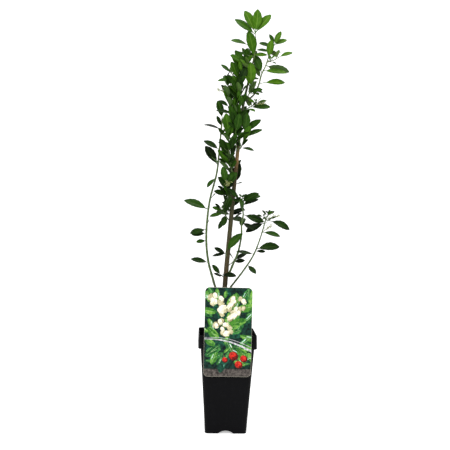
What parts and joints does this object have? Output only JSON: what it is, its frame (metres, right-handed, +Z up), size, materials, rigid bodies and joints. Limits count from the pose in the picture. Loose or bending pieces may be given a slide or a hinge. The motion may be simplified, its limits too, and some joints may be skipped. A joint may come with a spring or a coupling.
{
  "type": "potted strawberry tree",
  "caption": "Slender young evergreen strawberry tree in a deep square nursery pot with a picture card hung on the rim; stands on a patio or in a garden display.",
  "frame": {"origin": "centre of the flat underside of the pot", "axes": "+Z up along the plant, +X to the right of the picture card, -Y the side that the card hangs on"},
  "size_m": [0.2414, 0.1311, 0.9549],
  "materials": {
    "pot": "black moulded polypropylene, satin",
    "compost": "dark fibrous potting compost, matt",
    "label": "printed plastic card, satin",
    "trunk": "reddish brown flaking bark, matt",
    "green_bark": "smooth green to brown young bark",
    "foliage": "leathery leaves, glossy upper face"
  },
  "bodies": {
    "root": {"column_back_foliage": "foliage", "column_back_high_foliage": "foliage", "column_front_foliage": "foliage", "column_left_foliage": "foliage", "column_low_foliage": "foliage", "column_right_foliage": "foliage", "column_top_foliage": "foliage", "compost": "compost", "label": "label", "leader_bough": "green_bark", "leader_foliage": "foliage", "left_bough": "green_bark", "left_foliage": "foliage", "middle_bough": "green_bark", "middle_foliage": "foliage", "pot": "pot", "right_low_bough": "green_bark", "right_low_foliage": "foliage", "right_spray_foliage": "foliage", "trunk": "trunk", "trunk_back_low_foliage": "foliage", "trunk_foot_back_foliage": "foliage", "trunk_foot_foliage": "foliage", "trunk_left_foliage": "foliage", "trunk_low_foliage": "foliage", "upper_back_foliage": "foliage", "upper_front_foliage": "foliage", "upper_left_foliage": "foliage", "upper_right_bough": "green_bark", "upper_right_foliage": "foliage", "upper_spur_foliage": "foliage"}
  },
  "joints": []
}
